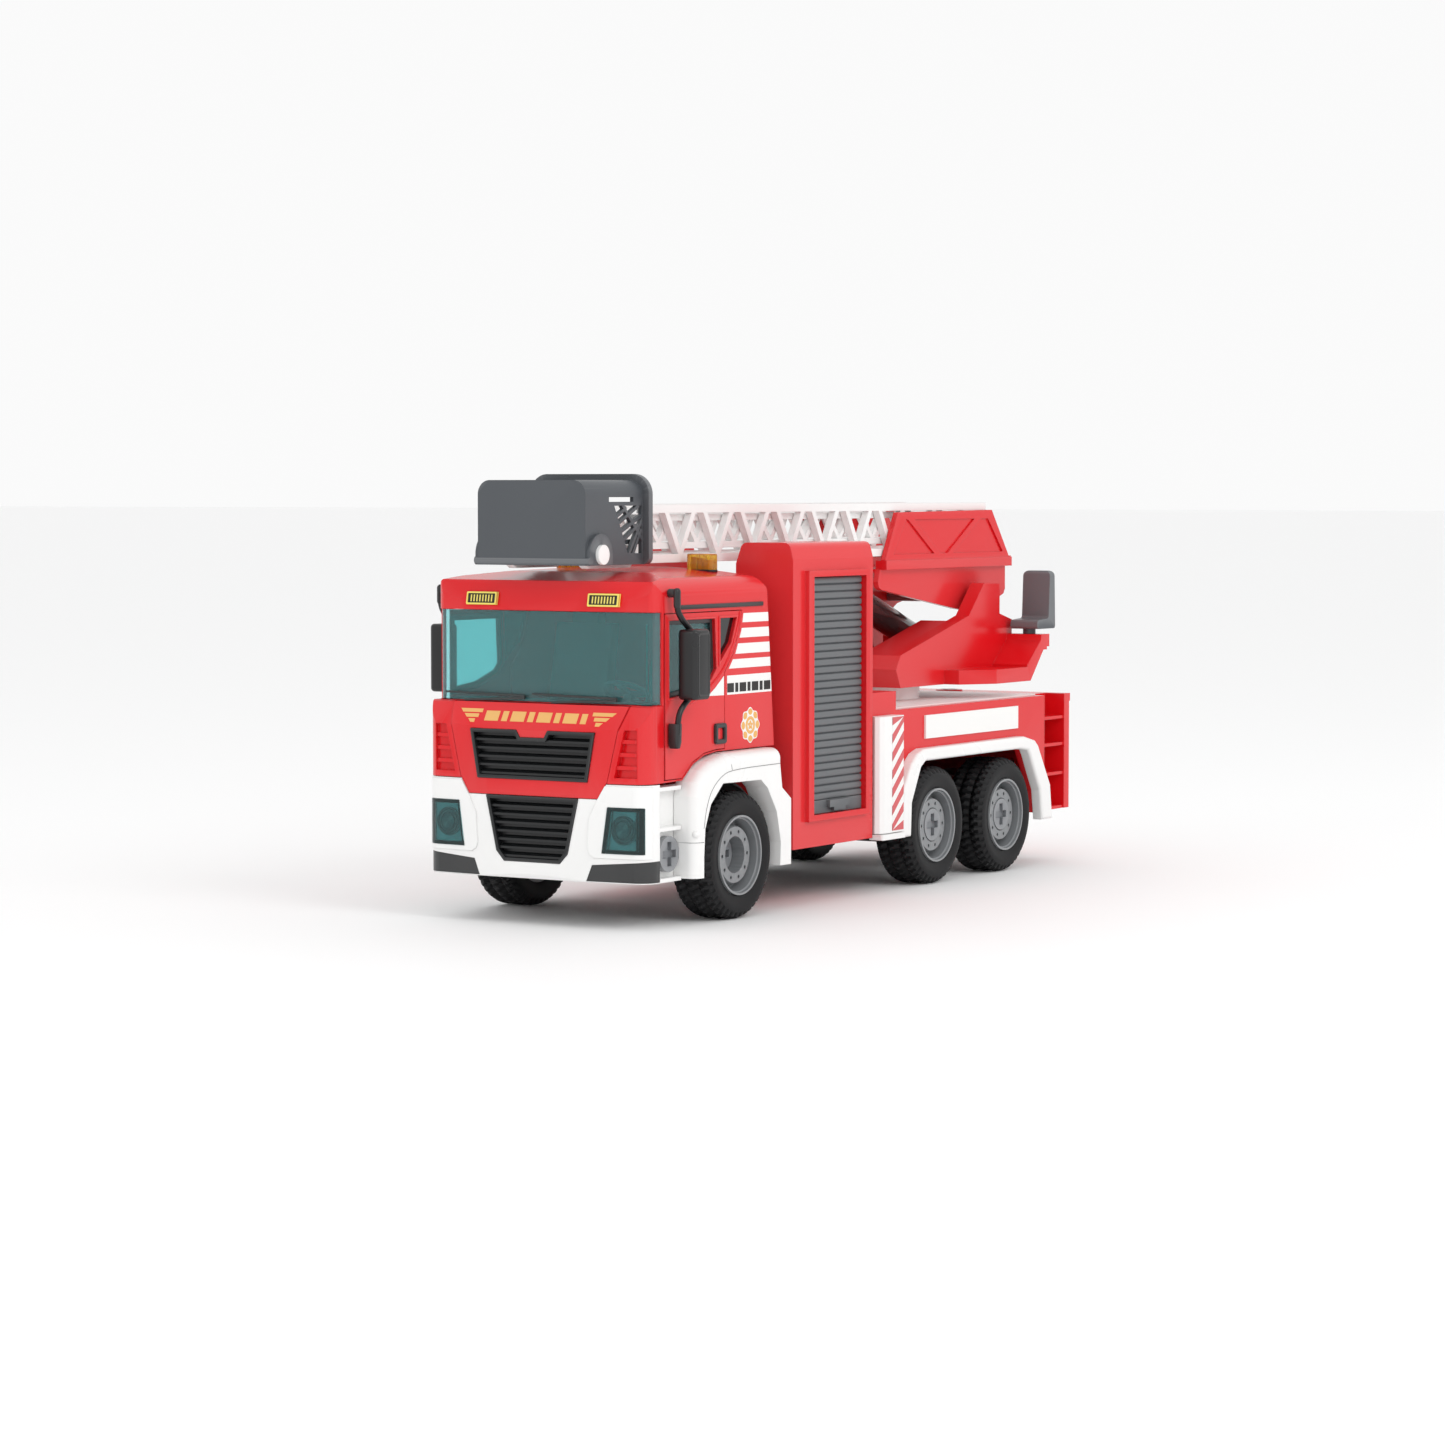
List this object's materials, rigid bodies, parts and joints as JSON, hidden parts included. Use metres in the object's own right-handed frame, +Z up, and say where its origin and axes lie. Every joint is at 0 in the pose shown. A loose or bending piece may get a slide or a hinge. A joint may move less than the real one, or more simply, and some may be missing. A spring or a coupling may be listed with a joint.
{
  "type": "toy fire engine with turntable ladder",
  "caption": "Toy fire engine with a turntable ladder: opening doors, roller shutters, outriggers, rolling wheels and a tilting rescue basket.",
  "frame": {"origin": "on the ground, midway between the vehicle's front and rear ends and on its centre plane", "axes": "+Z up, the front of the vehicle faces -Y, +X is the vehicle's left"},
  "size_m": [0.1406, 0.396, 0.1951],
  "materials": {
    "red_plastic": "moulded red plastic, softly glossy",
    "white_plastic": "moulded white plastic, softly glossy",
    "grey_plastic": "moulded dark grey plastic, satin",
    "black_plastic": "moulded black plastic, satin",
    "silver_plastic": "silvered lamp disc",
    "amber_plastic": "amber plastic, glossy",
    "yellow_plastic": "yellow plastic, glossy",
    "tinted_glazing": "turquoise tinted clear plastic",
    "tyre_rubber": "black rubber"
  },
  "bodies": {
    "chassis": {"chassis_frame": "black_plastic", "front_bumper": "white_plastic", "bumper_insert": "black_plastic", "headlight_lenses": "tinted_glazing", "headlight_lamps": "silver_plastic", "cab_shell": "red_plastic", "front_panel": "red_plastic", "upper_grille": "black_plastic", "windscreen": "tinted_glazing", "wipers": "black_plastic", "cab_interior": "black_plastic", "marker_lights": "yellow_plastic", "roof_beacons": "amber_plastic", "front_fenders": "white_plastic", "body_bolts": "grey_plastic", "rear_body": "red_plastic", "deck": "white_plastic", "rear_fenders": "white_plastic", "side_plates": "white_plastic", "tail_lights": "amber_plastic", "wheel_bolts": "grey_plastic", "slew_pedestal": "grey_plastic", "cabinet_left": "red_plastic", "cabinet_right": "red_plastic", "shutter_curtain_left": "grey_plastic", "shutter_curtain_right": "grey_plastic"},
    "turntable": {"turntable_frame": "red_plastic", "operator_seat": "black_plastic", "boom_pin": "grey_plastic"},
    "boom": {"boom_frame": "red_plastic"},
    "ram_barrel_body": {"ram_barrel": "black_plastic"},
    "ram_rod_body": {"ram_rod": "grey_plastic"},
    "ladder_middle_body": {"ladder_middle": "white_plastic"},
    "ladder_fly_body": {"ladder_fly": "white_plastic", "basket_pins": "white_plastic"},
    "basket_body": {"basket": "grey_plastic"},
    "door_left_body": {"door_left": "red_plastic", "door_glass_left": "tinted_glazing", "door_trim_left": "black_plastic"},
    "shutter_left_body": {"shutter_bar_left": "grey_plastic"},
    "outrigger_left_body": {"outrigger_left": "white_plastic"},
    "outrigger_foot_left_body": {"outrigger_foot_left": "black_plastic"},
    "wheel_front_left": {"tyre_front_left": "tyre_rubber", "rim_front_left": "grey_plastic"},
    "wheel_middle_left": {"tyre_middle_left": "tyre_rubber", "rim_middle_left": "grey_plastic"},
    "wheel_rear_left": {"tyre_rear_left": "tyre_rubber", "rim_rear_left": "grey_plastic"},
    "door_right_body": {"door_right": "red_plastic", "door_glass_right": "tinted_glazing", "door_trim_right": "black_plastic"},
    "shutter_right_body": {"shutter_bar_right": "grey_plastic"},
    "outrigger_right_body": {"outrigger_right": "white_plastic"},
    "outrigger_foot_right_body": {"outrigger_foot_right": "black_plastic"},
    "wheel_front_right": {"tyre_front_right": "tyre_rubber", "rim_front_right": "grey_plastic"},
    "wheel_middle_right": {"tyre_middle_right": "tyre_rubber", "rim_middle_right": "grey_plastic"},
    "wheel_rear_right": {"tyre_rear_right": "tyre_rubber", "rim_rear_right": "grey_plastic"}
  },
  "joints": [
    {"name": "wheel_front_left_spin", "type": "hinge", "parent": "chassis", "child": "wheel_front_left", "pos_m": [0.053, -0.128, 0.0282], "axis": [1, 0, 0], "continuous": true},
    {"name": "wheel_middle_left_spin", "type": "hinge", "parent": "chassis", "child": "wheel_middle_left", "pos_m": [0.053, 0.052, 0.0282], "axis": [1, 0, 0], "continuous": true},
    {"name": "wheel_rear_left_spin", "type": "hinge", "parent": "chassis", "child": "wheel_rear_left", "pos_m": [0.053, 0.1225, 0.0282], "axis": [1, 0, 0], "continuous": true},
    {"name": "wheel_front_right_spin", "type": "hinge", "parent": "chassis", "child": "wheel_front_right", "pos_m": [-0.053, -0.128, 0.0282], "axis": [1, 0, 0], "continuous": true},
    {"name": "wheel_middle_right_spin", "type": "hinge", "parent": "chassis", "child": "wheel_middle_right", "pos_m": [-0.053, 0.052, 0.0282], "axis": [1, 0, 0], "continuous": true},
    {"name": "wheel_rear_right_spin", "type": "hinge", "parent": "chassis", "child": "wheel_rear_right", "pos_m": [-0.053, 0.1225, 0.0282], "axis": [1, 0, 0], "continuous": true},
    {"name": "door_left_open", "type": "hinge", "parent": "chassis", "child": "door_left_body", "pos_m": [0.057, -0.1806, 0.1], "axis": [0, 0, -1], "range_deg": [0, 50]},
    {"name": "door_right_open", "type": "hinge", "parent": "chassis", "child": "door_right_body", "pos_m": [-0.057, -0.1806, 0.1], "axis": [0, 0, 1], "range_deg": [0, 50]},
    {"name": "turntable_slew", "type": "hinge", "parent": "chassis", "child": "turntable", "pos_m": [0, 0.09, 0.092], "axis": [0, 0, 1], "range_deg": [-0.6, 0.6]},
    {"name": "ladder_raise", "type": "hinge", "parent": "turntable", "child": "boom", "pos_m": [0, 0.1565, 0.134], "axis": [-1, 0, 0], "range_deg": [0, 50]},
    {"name": "ladder_middle_slide", "type": "slide", "parent": "boom", "child": "ladder_middle_body", "axis": [0, -1, 0], "range_m": [0, 0.06]},
    {"name": "ladder_fly_slide", "type": "slide", "parent": "ladder_middle_body", "child": "ladder_fly_body", "axis": [0, -1, 0], "range_m": [0, 0.09]},
    {"name": "basket_tilt", "type": "hinge", "parent": "ladder_fly_body", "child": "basket_body", "pos_m": [0, -0.188, 0.1604], "axis": [1, 0, 0], "range_deg": [0, 60]},
    {"name": "ram_tilt", "type": "hinge", "parent": "turntable", "child": "ram_barrel_body", "pos_m": [0, 0.14, 0.114], "axis": [-1, 0, 0], "range_deg": [0, 52]},
    {"name": "ram_extend", "type": "slide", "parent": "ram_barrel_body", "child": "ram_rod_body", "axis": [0, -0.9426, 0.3338], "range_m": [0, 0.0235]},
    {"name": "shutter_left_lift", "type": "slide", "parent": "chassis", "child": "shutter_left_body", "axis": [0, 0, 1], "range_m": [0, 0.085], "deforming": ["shutter_curtain_left"]},
    {"name": "outrigger_left_slide", "type": "slide", "parent": "chassis", "child": "outrigger_left_body", "axis": [1, 0, 0], "range_m": [0, 0.025]},
    {"name": "outrigger_foot_left_drop", "type": "slide", "parent": "outrigger_left_body", "child": "outrigger_foot_left_body", "axis": [0, 0, -1], "range_m": [0, 0.024]},
    {"name": "shutter_right_lift", "type": "slide", "parent": "chassis", "child": "shutter_right_body", "axis": [0, 0, 1], "range_m": [0, 0.085], "deforming": ["shutter_curtain_right"]},
    {"name": "outrigger_right_slide", "type": "slide", "parent": "chassis", "child": "outrigger_right_body", "axis": [-1, 0, 0], "range_m": [0, 0.025]},
    {"name": "outrigger_foot_right_drop", "type": "slide", "parent": "outrigger_right_body", "child": "outrigger_foot_right_body", "axis": [0, 0, -1], "range_m": [0, 0.024]}
  ],
  "couplings": [
    {"joint": "ram_tilt", "follows": "ladder_raise", "ratio": 1},
    {"joint": "ram_extend", "follows": "ladder_raise", "m_per_rad": 0.0255}
  ]
}
